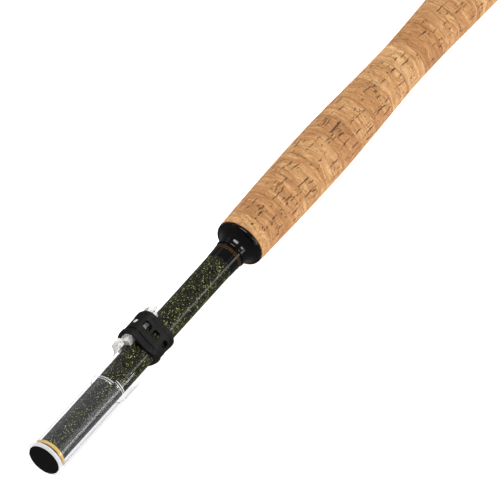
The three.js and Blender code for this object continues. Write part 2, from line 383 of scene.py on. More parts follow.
def tint(tree, shader, pattern, dark, pale, places=(0.3, 0.7)):
    """Base colour between two tones, by a pattern."""
    tree.links.new(ramp(tree, pattern, list(zip(places, (dark, pale)))), shader.inputs["Base Color"])


def polish(tree, shader, pattern, low, high, places=(0.2, 0.8)):
    """Roughness between two values, by a pattern."""
    tree.links.new(slope(tree, pattern, places, (low, high)), shader.inputs["Roughness"])


def glitter_lacquer():
    """Dark green-black lacquer full of fine gold and green flakes, under a clear gloss coat."""
    material, tree, shader = fresh("glitter_lacquer")
    spot = grid(tree)
    base, green, gold = paint("blank"), paint("flake_green"), paint("flake_gold")
    cloud = noise(tree, spot, 0.30, 3)
    ground = ramp(tree, cloud, [(0.35, shade(0.5, base)), (0.65, shade(1.5, base))])
    layer, masks = ground, []
    kinds = (
        # flakes for each mm, size, share left out, tones
        (2.7, 0.38, 0.52, (
            (0.0, shade(0.25, green)), (0.5, green), (0.75, shade(0.25, gold)), (1.0, shade(0.5, gold)),
        )),
        (2.0, 0.36, 0.80, (
            (0.0, shade(0.7, gold)), (0.6, gold), (0.85, (0.55, 0.58, 0.20)), (1.0, (0.85, 0.85, 0.45)),
        )),
    )
    for scale, reach, left_out, tones in kinds:
        cells = node(tree, "ShaderNodeTexVoronoi", {"Vector": spot, "Scale": scale})
        chance = node(tree, "ShaderNodeSeparateColor", {0: cells.outputs["Color"]})
        dot = maths(tree, "LESS_THAN", cells.outputs["Distance"], reach)
        clump = maths(tree, "ADD", chance.outputs[0], maths(tree, "MULTIPLY_ADD", cloud, 0.5, -0.25))
        mask = times(tree, dot, maths(tree, "GREATER_THAN", clump, left_out))
        layer = blend_colour(tree, mask, layer, ramp(tree, chance.outputs[1], tones))
        masks.append(mask)
    # the lacquer darkens into the wrap
    along = node(tree, "ShaderNodeSeparateXYZ", {0: grid(tree)}).outputs[0]
    wrap = (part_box("fore_wrap")[1][0]) / MM
    fade = node(
        tree, "ShaderNodeMapRange",
        {"Value": along, "From Min": wrap - 0.3, "From Max": wrap + 2.2, "To Min": 1.0, "To Max": 0.0},
    )
    layer = blend_colour(tree, fade.outputs[0], layer, (0.003, 0.003, 0.003, 1))
    tree.links.new(layer, shader.inputs["Base Color"])
    flakes = maths(tree, "MAXIMUM", *masks)
    tree.links.new(times(tree, flakes, 0.3), shader.inputs["Metallic"])
    tree.links.new(maths(tree, "MULTIPLY_ADD", flakes, 0.10, 0.40), shader.inputs["Roughness"])
    tilt = vector(tree, "SUBTRACT", cells.outputs["Color"], (0.5, 0.5, 0.5))
    lean = node(tree, "ShaderNodeVectorMath", {0: tilt, 3: times(tree, flakes, 0.6)}, operation="SCALE").outputs[0]
    facing = node(tree, "ShaderNodeNewGeometry").outputs["Normal"]
    tipped = vector(tree, "ADD", facing, lean)
    even = node(tree, "ShaderNodeVectorMath", {0: tipped}, operation="NORMALIZE").outputs[0]
    tree.links.new(even, shader.inputs["Normal"])
    dial(shader, "Coat Weight", 0.6)
    dial(shader, "Coat Roughness", 0.14)
    dial(shader, "Specular IOR Level", 0.1)
    return material


def inner_lacquer():
    """Plain dark lacquer of the inner sections, with a faint length-wise grain."""
    material, tree, shader = fresh("inner_lacquer")
    grain = noise(tree, grid(tree, (0.05, 1.6, 1.6)), 1.0, 4, 0.6)
    base = paint("blank")
    tint(tree, shader, grain, base, shade(2.2, base))
    polish(tree, shader, grain, 0.16, 0.30)
    dial(shader, "Coat Weight", 0.8)
    dial(shader, "Coat Roughness", 0.05)
    return material


def cork(trim=False):
    """Cork: growth lines round the rod, tone bands, long dark cracks, flecks and pits, from each ring's own seed."""
    material, tree, shader = fresh("trim_cork" if trim else "ring_cork")
    seed, tone, edge = (
        node(tree, "ShaderNodeAttribute", attribute_name=name).outputs["Fac"] for name in ("seed", "tone", "edge")
    )
    steps = {i: times(tree, seed, step) for i, step in enumerate((13.7, 41.3, 97.1))}
    shift = node(tree, "ShaderNodeCombineXYZ", steps).outputs[0]
    spot = grid(tree, shift=shift)
    sway = node(tree, "ShaderNodeTexNoise", {"Vector": spot, "Scale": 0.16, "Detail": 2.0}).outputs["Color"]
    sway = vector(tree, "SUBTRACT", sway, (0.5, 0.5, 0.5))
    sway = vector(tree, "MULTIPLY", sway, (5.0, 3.0, 3.0))
    swayed = vector(tree, "ADD", spot, sway)

    def stretched(along, around):
        return node(tree, "ShaderNodeMapping", {"Vector": swayed, "Scale": (along, around, around)}).outputs[0]

    mottle = noise(tree, spot, 0.75 if trim else 0.42, 5, 0.68)
    band = noise(tree, stretched(0.5, 0.06), 1.0, 2.5, 0.6)
    streak = noise(tree, stretched(1.25, 0.11) if not trim else stretched(0.9, 0.55), 1.0, 4.0, 0.62)
    grain = noise(tree, spot, 2.4, 4, 0.65)
    level = maths(tree, "MULTIPLY_ADD", band, 1.0, -0.5)
    for pattern, share in ((mottle, 0.8), (streak, 1.1), (grain, 0.9)):
        level = maths(tree, "ADD", level, maths(tree, "MULTIPLY_ADD", pattern, share, -share / 2))
    level = maths(tree, "ADD", level, maths(tree, "SUBTRACT", tone, 0.06), clamp=True)
    red = paint("cork_red")
    ground = ramp(tree, level, [(0.0, red), (0.5, paint("cork")), (1.0, paint("cork_pale"))])
    # growth lines: thin, brown and broken
    thin = maths(tree, "ABSOLUTE", maths(tree, "SUBTRACT", streak, 0.44))
    lines = slope(tree, thin, (0.0, 0.035), (1, 0))
    growth = times(tree, lines, slope(tree, mottle, (0.42, 0.6), (0, 1)))
    ground = blend_colour(tree, times(tree, growth, 0.6), ground, shade(0.45, red))
    fibre = noise(tree, stretched(2.6, 0.16) if not trim else stretched(1.6, 1.0), 1.0, 3.0, 0.6)
    ground = blend_colour(tree, slope(tree, fibre, (0.34, 0.46), (0.45, 0)), ground, shade(0.6, red))
    ground = blend_colour(tree, slope(tree, fibre, (0.58, 0.70), (0, 0.4)), ground, paint("cork_pale"))
    # cracks, long along the rod, and shorter flecks
    darks = []
    kinds = ((0.050, 1.15, 0.44, 0.62), (0.13, 1.3, 0.42, 0.78), (0.8, 0.7, 0.36, 0.84))
    if trim:
        kinds = ((0.30, 0.85, 0.34, 0.72), (0.75, 0.40, 0.34, 0.80), (0.9, 0.9, 0.28, 0.85))
    for along, around, reach, left_out in kinds:
        cells = node(tree, "ShaderNodeTexVoronoi", {"Vector": stretched(along, around), "Scale": 1.0})
        chance = node(tree, "ShaderNodeSeparateColor", {0: cells.outputs["Color"]})
        near = maths(tree, "ADD", cells.outputs["Distance"], maths(tree, "MULTIPLY_ADD", grain, 0.5, -0.25))
        far = maths(tree, "MULTIPLY_ADD", chance.outputs[1], reach * 0.6, reach * 0.4)
        inside = node(
            tree, "ShaderNodeMapRange", {"Value": near, "From Min": far, "From Max": 0.0, "To Min": 0.0, "To Max": 3.0},
        ).outputs[0]
        chosen = maths(tree, "GREATER_THAN", chance.outputs[0], left_out)
        darks.append(times(tree, inside, chosen, clamp=True))
    cracks = maths(tree, "MAXIMUM", darks[0], darks[1])
    dark = maths(tree, "MAXIMUM", cracks, times(tree, darks[2], 0.8), clamp=True)
    ground = blend_colour(tree, times(tree, dark, 0.9), ground, paint("crack"))
    ground = blend_colour(tree, times(tree, edge, 0.35), ground, shade(0.6, red))
    tree.links.new(ground, shader.inputs["Base Color"])
    polish(tree, shader, grain, 0.62, 0.82, (0.25, 0.75))
    height = maths(tree, "MULTIPLY_ADD", grain, 0.35, 0.0)
    height = maths(tree, "ADD", height, times(tree, streak, 0.5))
    height = maths(tree, "SUBTRACT", height, dark)
    height = maths(tree, "SUBTRACT", height, times(tree, growth, 0.25))
    bump(tree, shader, height, 0.25, 0.9)
    dial(shader, "Specular IOR Level", 0.2)
    return material


def polished_gold():
    """Bright gold plate with faint turning marks."""
    material, tree, shader = fresh("polished_gold")
    turned_marks = noise(tree, grid(tree, (9.0, 0.4, 0.4)), 1.0, 3)
    gold = paint("gold")
    tint(tree, shader, turned_marks, shade(0.86, gold), gold)
    polish(tree, shader, turned_marks, 0.2, 0.32)
    dial(shader, "Metallic", 0.15)
    bump(tree, shader, turned_marks, 0.02)
    return material


def copper_thread():
    """Metallic thread, worn to a coppery gold."""
    material, tree, shader = fresh("copper_thread")
    twist = noise(tree, grid(tree, (6.0, 2.2, 2.2)), 1.0, 2)
    tint(tree, shader, twist, (0.20, 0.085, 0.03), (0.50, 0.27, 0.10))
    polish(tree, shader, twist, 0.35, 0.5)
    dial(shader, "Metallic", 0.9)
    bump(tree, shader, twist, 0.03)
    return material


def gloss_black():
    """Deep black lacquer with a slight orange peel."""
    material, tree, shader = fresh("gloss_black")
    peel = noise(tree, grid(tree), 0.8, 2)
    black = paint("black")
    tint(tree, shader, peel, black[:3], shade(1.8, black))
    polish(tree, shader, peel, 0.10, 0.15)
    dial(shader, "Specular IOR Level", 0.34)
    bump(tree, shader, peel, 0.02, 0.4)
    return material


def matte_plastic():
    """Matte moulded plastic with a fine spark-eroded grain."""
    material, tree, shader = fresh("matte_plastic")
    grain = noise(tree, grid(tree), 6.0, 3)
    tint(tree, shader, grain, grey(0.003), grey(0.007))
    polish(tree, shader, grain, 0.5, 0.7)
    dial(shader, "Specular IOR Level", 0.10)
    bump(tree, shader, grain, 0.03, 0.6)
    return material


def rubber():
    """Soft black rubber, a little dusty, with a fine moulded grain."""
    material, tree, shader = fresh("soft_rubber")
    spot = grid(tree)
    grain, dust = noise(tree, spot, 5.0, 3), noise(tree, spot, 0.45, 3)
    base = paint("rubber")
    tint(tree, shader, dust, shade(0.7, base), shade(1.7, base), (0.35, 0.75))
    polish(tree, shader, grain, 0.48, 0.66)
    dial(shader, "Specular IOR Level", 0.25)
    bump(tree, shader, grain, 0.03, 0.5)
    return material


def clear_plastic(name, haze):
    """Clear moulded plastic, thin enough not to bend what lies behind it. The haze is the share of fine scuffs. Its
    see-through tint is painted shade, greyer where the wall turns edge-on.
    """
    material, tree, shader = fresh(name)
    output = tree.nodes["Material Output"]
    scuff = noise(tree, grid(tree, (0.25, 1.2, 1.2)), 0.8, 3)
    edge_on = node(tree, "ShaderNodeLayerWeight", {"Blend": 0.5}).outputs["Facing"]
    # painted shade: what shows through is greyed where the wall turns edge-on, standing for the darker surroundings
    # bent in there
    pane = ramp(tree, edge_on, [
        (0.0, (0.985, 0.985, 0.985)), (0.62, (0.965, 0.96, 0.965)),
        (0.85, (0.90, 0.89, 0.89)), (1.0, (0.80, 0.79, 0.79)),
    ])
    through = node(tree, "ShaderNodeBsdfTransparent", {"Color": pane})
    dial(shader, "Base Color", (0.62, 0.66, 0.82, 1) if haze < 0.1 else paint("clear"))
    dial(shader, "Specular IOR Level", 0.5)
    polish(tree, shader, scuff, 0.35, 0.5, (0.3, 0.8))
    shine = maths(tree, "MULTIPLY_ADD", maths(tree, "POWER", edge_on, 5.0), 0.30, 0.04)
    gloss = node(tree, "ShaderNodeBsdfGlossy", {"Color": (1, 1, 1, 1), "Roughness": 0.10})
    depth = maths(tree, "MULTIPLY_ADD", edge_on, 2.2 * haze, 0.3 * haze)
    veil = times(tree, depth, slope(tree, scuff, (0.3, 0.7), (0.75, 1.0)))
    hazed = node(tree, "ShaderNodeMixShader", {0: veil, 1: through.outputs[0], 2: shader.outputs[0]})
    mixed = node(tree, "ShaderNodeMixShader", {0: shine, 1: hazed.outputs[0], 2: gloss.outputs[0]})
    tree.links.new(mixed.outputs[0], output.inputs["Surface"])
    return material


def painted_light_plastic():
    """The cover's thick end ring, where the clear plastic gathers light and looks white: the white is painted light,
    and it also paints the bright lines on the ledge's edges.
    """
    material, tree, shader = fresh("painted_light_plastic")
    haze = noise(tree, grid(tree), 0.5, 3)
    # painted light: the near-white tones stand for light gathered in the clear plastic, not for a milky colour
    tint(tree, shader, haze, (0.80, 0.80, 0.81), (0.90, 0.90, 0.90))
    polish(tree, shader, haze, 0.12, 0.22)
    dial(shader, "Alpha", 0.88)
    return material


def thick_plastic():
    """Thick curved clear plastic: bright, with painted reflections and painted shade: dark and pale streaks stand for
    what it gathers from around it, and it greys where it turns edge-on.
    """
    material, tree, shader = fresh("thick_plastic")
    spot = grid(tree, (0.55, 1.0, 1.0))
    painted_reflection_veins = noise(tree, spot, 0.62, 2.5, 0.5, 1.6)
    edge_on = node(tree, "ShaderNodeLayerWeight", {"Blend": 0.45}).outputs["Facing"]
    # painted reflections: dark and pale bands stand for the surroundings seen in the thick plastic
    tone = ramp(tree, painted_reflection_veins, [
        (0.36, (0.08, 0.075, 0.07)), (0.41, (0.75, 0.73, 0.71)), (0.48, (1.0, 0.99, 0.98)),
        (0.60, (0.80, 0.77, 0.74)), (0.66, (1.0, 0.99, 0.98)),
    ])
    # painted shade: greyer where the surface turns edge-on
    painted_edge_shade = blend_colour(tree, times(tree, edge_on, 0.45), tone, (0.45, 0.43, 0.42, 1))
    tree.links.new(painted_edge_shade, shader.inputs["Base Color"])
    polish(tree, shader, painted_reflection_veins, 0.05, 0.16, (0.3, 0.7))
    dial(shader, "Alpha", 0.9)
    bump(tree, shader, painted_reflection_veins, 0.25, 0.6)
    return material


def turned_metal(name, colour_value, rough, metallic=1.0):
    """Lathe-turned metal: fine rings about the rod's axis on every face."""
    material, tree, shader = fresh(name)
    offset = vector(tree, "ADD", grid(tree), (0, 0, -AXIS_Z / MM))
    parts = node(tree, "ShaderNodeSeparateXYZ", {0: offset})
    flat = node(tree, "ShaderNodeCombineXYZ", {0: 0.0, 1: parts.outputs[1], 2: parts.outputs[2]})
    reach = node(tree, "ShaderNodeVectorMath", {0: flat.outputs[0]}, operation="LENGTH").outputs["Value"]
    place = maths(tree, "ADD", times(tree, reach, 5.0), times(tree, parts.outputs[0], 5.0))
    marks = {"W": place, "Scale": 1.0, "Detail": 3.0}
    rings = node(tree, "ShaderNodeTexNoise", marks, noise_dimensions="1D").outputs["Fac"]
    dull = shade(0.8, colour_value)
    tint(tree, shader, rings, dull, colour_value)
    polish(tree, shader, rings, rough, rough + 0.15)
    dial(shader, "Metallic", metallic)
    bump(tree, shader, rings, 0.02, 0.5)
    return material


# ---------------------------------------------------------------- the pieces


class RodStep:
    """What the building operators share."""

    bl_options = {"REGISTER", "UNDO"}


class ROD_OT_base_section(RodStep, bpy.types.Operator):
    """Base section: a lacquered tube with a rounded mouth"""

    bl_idname = "rod.base_section"
    bl_label = "Base Section"

    def execute(self, context):
        r = size("blank_radius")
        mouth, end = ends("blank_base")
        outline = [(mouth, 5.16), (mouth, r - 0.25), (mouth + 0.25, r), (142, r + 0.04), (end, 6.26), (end, 5.5)]
        piece = settle(turn("base_section", outline), lift=AXIS_Z)
        hand_over(piece, "handle", "blank_lacquer", glitter_lacquer(), "blank_base")
        return {"FINISHED"}


class ROD_OT_wrap(RodStep, bpy.types.Operator):
    """Gloss wrap in front of the handle, with its two gold lines"""

    bl_idname = "rod.wrap"
    bl_label = "Wrap and Gold Lines"

    def execute(self, context):
        front, back = ends("fore_wrap")
        outline = [(front, 6.22), (front + 0.05, 6.28), (front + 0.9, 6.36)]
        outline += [(back - 3.6, 6.40), (back, 6.42), (back, 6.22)]
        piece = settle(turn("gloss_wrap", outline), lift=AXIS_Z)
        hand_over(piece, "handle", "black_gloss", gloss_black(), "fore_wrap")
        copper = copper_thread()
        for name, inset in (("gold_line_front", 0.25), ("gold_line_rear", 0.05)):
            front = ends(name)[0] + inset
            outline = [(front, 6.40)]
            for i in range(2):  # two turns of fine thread, side by side
                middle = front + 0.13 * (i + 0.5)
                for a in (150, 90, 30):
                    t = math.radians(a)
                    outline.append((middle + 0.065 * math.cos(t), 6.45 + 0.09 * math.sin(t)))
            outline.append((front + 0.26, 6.40))
            thread = settle(turn(name.replace("line", "thread"), outline), lift=AXIS_Z)
            hand_over(thread, "handle", "gold_metal", copper, name, smooth=60)
        return {"FINISHED"}


class ROD_OT_winding_check(RodStep, bpy.types.Operator):
    """Flared winding check: a trumpet with a thin rounded lip against the cork"""

    bl_idname = "rod.winding_check"
    bl_label = "Winding Check"

    def execute(self, context):
        front, back = ends("winding_check")
        outline = [(front, 6.5), (front, 6.72), (front + 0.12, 6.86)]
        for i in range(25):
            a = math.radians(90 * i / 24)
            outline.append((front + 0.5 + 5.8 * math.sin(a), 6.93 + 3.69 * (1 - math.cos(a))))
        for i in range(9):
            a = math.radians(22.5 * i)
            outline.append((back - 0.75 - 0.72 * math.cos(a), 10.62 + 0.33 * math.sin(a)))
        outline += [(back, 10.3), (back, 6.5)]
        piece = settle(turn("flared_check", outline), lift=AXIS_Z)
        hand_over(piece, "handle", "black_gloss", gloss_black(), "winding_check", smooth=40)
        return {"FINISHED"}


class ROD_OT_handle(RodStep, bpy.types.Operator):
    """Cork handle: rings glued end to end and sanded to two humps and a waist, each with worn pits"""

    bl_idname = "rod.handle"
    bl_label = "Cork Handle"

    # how pale each ring is, from the front
    TONES = (
        0.60, 0.42, 0.50, 0.58, 0.62, 0.40, 0.56, 0.46, 0.60, 0.74,
        0.34, 0.55, 0.48, 0.64, 0.42, 0.58, 0.50, 0.66, 0.46, 0.60,
    )
    NARROW_BORE, WIDE_BORE = 6.45, 8.15
    BUSH_SEAT, BUSH_STEP = 225, 227  # where the bore widens for the bush, behind the handle's front

    def radius(self, d, whole):
        """Half the handle's width at a distance behind its front: two humps and a waist."""
        near = min(d, whole - d)
        nose, hump, waist, place = size("nose_radius"), size("hump_radius"), size("waist_radius"), size("hump_place")
        if near < place:
            return nose + (hump - nose) * math.sin(math.pi / 2 * near / place)
        fall = (1 + math.cos(math.pi * (near - place) / (whole / 2 - place))) / 2
        return waist + (hump - waist) * max(fall, 0) ** 0.9

    def execute(self, context):
        names = sorted(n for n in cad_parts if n.startswith("cork_ring_"))
        front = ends(names[0])[0]
        whole = ends(names[-1])[1] - front + 0.04
        plain, trim = cork(), cork(trim=True)
        wear = bpy.data.textures.new("cork_wear", "CLOUDS")
        wear.noise_scale = 0.0011
        wear.noise_depth = 3
        wear.contrast = 2.2
        for i, name in enumerate(names):
            low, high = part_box(name)
            s0, s1 = ends(name)
            steps = max(8, round((s1 - s0) / 0.5))
            bore = self.NARROW_BORE if s0 < front + self.BUSH_SEAT else self.WIDE_BORE
            outline = [(s0, bore)]
            for k in range(steps + 1):
                s = s0 + (s1 - s0) * k / steps
                outline.append((s, self.radius(s - front, whole)))
            if s0 < front + self.BUSH_SEAT < s1 - 0.1:
                step = front + self.BUSH_STEP
                outline += [(s1, self.WIDE_BORE), (step, self.WIDE_BORE), (step, self.NARROW_BORE)]
            else:
                outline.append((s1, bore if s1 < front + 235 else self.WIDE_BORE))
            ring = turn(name.replace("cork_ring", "cork"), outline, sides=160)
            skin = ring.vertex_groups.new(name="skin")
            for v in ring.data.vertices:
                if math.hypot(v.co.y, v.co.z) > 9 * MM:
                    skin.add([v.index], 1.0, "REPLACE")
            apply_modifier(
                ring, "DISPLACE", texture=wear, texture_coords="LOCAL", strength=size("cork_pits") * MM,
                mid_level=0.55, vertex_group="skin",
            )
            settle(ring, lift=AXIS_Z)
            near_end = [float(min(v.co.x - low[0], high[0] - v.co.x) < 0.1 * MM) for v in ring.data.vertices]
            count = len(near_end)
            tone = self.TONES[i % len(self.TONES)]
            marks = {"seed": [i + 1.37] * count, "tone": [tone] * count, "edge": near_end}
            for key, values in marks.items():
                ring.data.attributes.new(key, "FLOAT", "POINT").data.foreach_set("value", values)
            end = i in (0, len(names) - 1)
            hand_over(ring, "handle", "trim_cork" if end else "cork", trim if end else plain, name, smooth=40)
        return {"FINISHED"}


class ROD_OT_butt_end(RodStep, bpy.types.Operator):
    """Butt end: threaded bush, screw cap with grip grooves and a coin slot, and the damper pad"""

    bl_idname = "rod.butt_end"
    bl_label = "Butt End"

    def execute(self, context):
        s0, s1 = ends("butt_bush")
        outline = [(s0, 6.45), (s0, 7.8), (s0 + 0.2, 8.0), (s1, 8.0), (s1, 6.75), (s1 - 0.3, 6.45)]
        outline += [(s1 - 0.3 - 0.6 * k, 6.45 if k % 2 == 0 else 6.62) for k in range(1, 12)]
        bush = settle(turn("threaded_bush", outline), lift=AXIS_Z)
        hand_over(bush, "handle", "bush_metal", turned_metal("bush_metal", (0.55, 0.55, 0.54), 0.3), "butt_bush")

        s0, s1 = ends("butt_cap")
        shoulder = s1 - 10.0
        outline = [(s0, 0), (s0, 5.75), (s0 + 0.4, 6.1)]
        outline += [(s0 + 0.7 + 0.6 * k, 6.12 if k % 2 == 0 else 5.95) for k in range(9)]
        outline += [(shoulder + 0.1, 5.95), (shoulder + 0.1, 9.8), (shoulder + 0.5, 10.2), (shoulder + 1.6, 10.2)]
        outline += [(shoulder + 1.75, 10.0), (shoulder + 2.15, 10.0), (shoulder + 2.3, 10.2)]
        outline += [(s1 - 3.6, 10.2), (s1 - 3.4, 10.0), (s1 - 3.0, 10.0), (s1 - 2.8, 10.2), (s1 - 1.2, 10.2)]
        outline += [(s1 - 0.7, 10.1), (s1 - 0.35, 9.8), (s1 - 0.1, 9.4), (s1, 8.8), (s1, 0)]
        cap = turn("screw_cap", outline, sides=120, closed=False)
        grip_front, grip_back = at(shoulder + 2.4), at(s1 - 3.7)
        pick_faces(cap, lambda c, n: (
            grip_back < c.x < grip_front
            and math.hypot(c.y, c.z) > 10.1 * MM
            and int(math.degrees(math.atan2(c.y, c.z)) // 3 + 120) % 2 == 0
        ))
        bpy.ops.mesh.extrude_faces_move(TRANSFORM_OT_shrink_fatten={"value": -0.3 * MM})
        close_up(cap)
        half = [(5.9, -0.9), (6.4, -0.5), (6.5, 0), (6.4, 0.5), (5.9, 0.9)]
        coin = [(-5.9, -0.9), *half, (-5.9, 0.9), (-6.4, 0.5), (-6.5, 0), (-6.4, -0.5)]
        slot = plate("slot", [Vector((at(s1 + 2), y * MM, z * MM)) for y, z in coin], Vector((3.5 * MM, 0, 0)))
        combine(cap, slot, "DIFFERENCE")
        settle(cap, lift=AXIS_Z)
        anodised = turned_metal("black_anodised", (0.035, 0.035, 0.038), 0.32, 0.8)
        hand_over(cap, "cap", "cap_metal", anodised, "butt_cap", smooth=25)

        s0, s1 = ends("damper_pad")
        outline = [(s0 + 0.3, 0), (s0 + 0.3, 1.6), (s0, 2.2), (s0, 4.5), (s0 + 0.3, 4.85)]
        outline += [(s1 - 0.3, 4.85), (s1, 4.5), (s1, 0)]
        pad = settle(turn("damper_disc", outline, sides=64, closed=False), lift=AXIS_Z)
        hand_over(pad, "damper", "black_rubber", rubber(), "damper_pad")
        return {"FINISHED"}


class ROD_OT_sections(RodStep, bpy.types.Operator):
    """Nested inner sections: tapered tubes with rolled ends, and a solid tip"""

    bl_idname = "rod.sections"
    bl_label = "Inner Sections"

    def execute(self, context):
        lacquer = inner_lacquer()
        for k in range(8):
            name = "section_" + str(k + 2)
            s0, s1 = ends(name)
            butt = 5.1 - 0.6 * k
            tip = butt - 0.25
            if k == 7:
                outline = [(s0, 0), (s0 + 0.05, 0.28), (s0 + 0.25, 0.40), (s1 - 0.4, 0.9), (s1, 0.6), (s1, 0)]
                piece = turn("tip_section", outline, sides=32, closed=False)
            else:
                wall = 0.28
                outline = [(s0, tip - wall), (s0 + 0.02, tip - 0.06), (s0 + 0.12, tip)]
                outline += [(s1 - 20, butt - 0.015), (s1 - 19.8, butt)]
                outline += [(s1 - 0.15, butt), (s1, butt - 0.15), (s1, butt - wall)]
                piece = turn("inner_" + name, outline, sides=64)
            settle(piece, lift=AXIS_Z)
            hand_over(piece, "stage_" + str(k + 2), "inner_lacquer", lacquer, name)
        return {"FINISHED"}


class ROD_OT_plug(RodStep, bpy.types.Operator):
    """Nose plug: domed face with a rounded edge, and a ribbed spigot"""

    bl_idname = "rod.plug"
    bl_label = "Nose Plug"

    def execute(self, context):
        outline = [(0.0, 0)]
        for i in range(1, 13):
            r = 7.05 * i / 12
            outline.append((0.20 * (r / 7.05) ** 2.4, r))
        for a in (70, 50, 30, 10, -10, -30, -55, -80):
            t = math.radians(a)
            outline.append((0.45 - 0.22 * math.sin(t), 7.18 + 0.22 * math.cos(t)))
        outline += [(1.05, 6.9), (1.05, 4.85), (1.3, 4.7)]
        for k in range(4):
            s = 3.0 + 2.2 * k
            outline += [(s - 0.5, 4.62), (s - 0.2, 4.74), (s + 0.2, 4.74), (s + 0.5, 4.62)]
        outline += [(11.5, 4.55), (12.0, 4.1), (12.0, 3.4), (6.0, 3.2), (6.0, 0)]
        piece = settle(turn("domed_plug", outline, closed=False), turn_by=TONGUE_TURN, lift=AXIS_Z, drop=COVER_DROP)
        hand_over(piece, "plug", "black_matte", matte_plastic(), "nose_plug", smooth=40)
        return {"FINISHED"}


class ROD_OT_cover(RodStep, bpy.types.Operator):
    """Clear cover with its end ring, ledge, tongue, saddle, hooks and post, and the gold ring in its bore"""

    bl_idname = "rod.cover"
    bl_label = "Clear Cover"

    MOUTH = 54.4
    LOW_MOUTH = 58.4
    TONGUE_END = 90.4
    # the second plastic is painted light: white for the light the end ring gathers and for the ledge's bright edge
    # lines
    CLEAR, MILKY, SCUFFED, FROSTED, THICK = range(5)

    def zone(self, centre, normal):
        """The plastic of a face: clear, white with painted light on the end ring and painted highlights on the ledge's
        edges, scuffed in the bore, frosted on the ledge, or thick, with painted reflections, in the saddle."""
        s, y, z = (TIP - centre.x) / MM, centre.y / MM, centre.z / MM + COVER_DROP
        r = math.hypot(y, z)
        inwards = (normal.y * y + normal.z * z) / r < -0.5
        if s < 1.6 and r > 7.55:
            return self.MILKY
        low, high = (44.5, 45.7) if z > 0 else (46.2, 47.4)
        # painted highlights: the ledge's two edges get the white plastic, to draw its bright edge lines
        if 44.3 < s < 47.6 and r < 8.05 and abs(normal.y * z - normal.z * y) / r > 0.7:
            return self.MILKY
        if low - 0.05 < s < high + 0.05 and r < 8.05 and abs(normal.x) > 0.1:
            return self.FROSTED if low + 0.3 < s < high - 0.3 else self.MILKY
        if s > 60 and r > 7.7:
            return self.THICK
        return self.SCUFFED if inwards and 2.3 < s < 47.3 and r < 7.7 else self.CLEAR

    def shell(self):
        """The wall and the end ring, turned."""
        outer, bore, low = size("cover_radius"), size("cover_bore"), self.LOW_MOUTH
        outline = [(1.2, 6.0), (1.2, 7.5), (0.35, 7.52), (0.3, 7.6), (0.36, 7.8), (0.6, 8.2), (1.0, 8.55)]
        outline += [(1.4, 8.74), (1.6, 8.78), (2.5, 8.78), (2.85, 8.66), (3.15, outer + 0.06)]
        outline += [(3.5, outer), (50.0, outer), (low - 0.6, outer), (low - 0.15, outer - 0.12), (low, outer - 0.35)]
        outline += [(low - 0.1, bore + 0.15), (low - 0.4, bore), (43.5, bore)]
        outline += [(2.35, bore), (2.15, bore - 0.2), (2.15, 6.0)]
        return turn("clear_cover", outline)

    def execute(self, context):
        cover = self.shell()
        # the mouth runs further back on the side away from the tongue
        mouth, low = self.MOUTH, self.LOW_MOUTH
        edge = [(mouth, 10), (mouth, -0.7), (mouth + 0.4, -1.7), (mouth + 1.0, -2.8), (mouth + 1.7, -4.2)]
        edge += [(mouth + 2.4, -5.6), (mouth + 3.1, -6.6), (mouth + 3.6, -7.3), (low - 0.1, -7.9)]
        edge += [(low + 0.1, -9.5), (low + 8, -9.5), (low + 8, 10)]
        cut = side_plate("mouth_cut", edge, 12)
        combine(cover, cut, "DIFFERENCE")
        # behind a sloping ledge the bore is wider, and the ledge lies deeper on one side
        for side, ledge in ((0, 44.5), (180, 46.2)):
            rise = [(ledge + t, 7.45 + 0.5 * t / 1.2) for t in (0, 0.3, 0.9, 1.2)]
            ring = turn("relief", [(ledge, 5), *rise, (low + 2, 7.95), (low + 2, 5)], sweep=179.6)
            settle(ring, turn_by=math.radians(side))
            combine(cover, ring, "DIFFERENCE")
        settle(cover, drop=COVER_DROP)
        # tongue: a strip of a tube that comes down from the wall, cut to its plan outline
        end = self.TONGUE_END
        strip = [(50.9, 6.45), (50.9, 8.15), (mouth, 8.1), (mouth + 0.9, 7.95), (mouth + 2.0, 7.55), (mouth + 3.2, 7.2)]
        strip += [(mouth + 4.6, 7.05), (66.5, 7.05), (67.5, 7.3), (end - 0.4, 7.3), (end, 7.0), (end, 6.45)]
        tongue = turn("tongue", strip, sweep=150)
        plan = [(50.9, 7.3), (54.9, 6.6), (56.2, 5.75), (57.4, 5.1), (58.8, 4.6), (60.4, 4.3)]
        plan += [(88.8, 4.3), (89.6, 4.15), (90.2, 3.7), (90.6, 3.0)]
        plan += [(s, -y) for s, y in reversed(plan)]
        block = plate("plan", [Vector((at(s), y * MM, 0.5 * MM)) for s, y in plan], Vector((0, 0, 12 * MM)))
        combine(tongue, block, "INTERSECT")
        combine(cover, tongue, "UNION")
        # saddle under the strap, with two raised ribs and rounded shoulders
        for s0, s1, inner, outer in ((66.2, 86.2, 6.45, 9.25), (69.3, 73.2, 8.6, 10.1), (78.8, 82.9, 8.6, 10.1)):
            arc = turn("saddle", [(s0, inner), (s0, outer), (s1, outer), (s1, inner)], sweep=84)
            soften(arc, 0.45, 3, 50)
            combine(cover, arc, "UNION")
        # hooks in front of and behind the strap
        front_hook = [(60.5, 7.2), (61.8, 7.75), (62.8, 8.4), (63.5, 9.3), (64.0, 10.3), (64.5, 10.8)]
        front_hook += [(65.2, 10.95), (66.2, 10.85), (66.6, 10.5), (66.9, 9.2), (67.2, 7.2)]
        rear_hook = [(85.2, 7.2), (85.4, 10.3), (85.8, 10.8), (86.5, 10.85), (87.3, 10.1)]
        rear_hook += [(88.2, 9.1), (88.9, 8.75), (90.0, 8.6), (90.3, 8.3), (90.3, 7.2)]
        for outline in (front_hook, rear_hook):
            hook = side_plate("hook", outline, 2.9)
            soften(hook, 0.45, 3, 50)
            combine(cover, hook, "UNION")
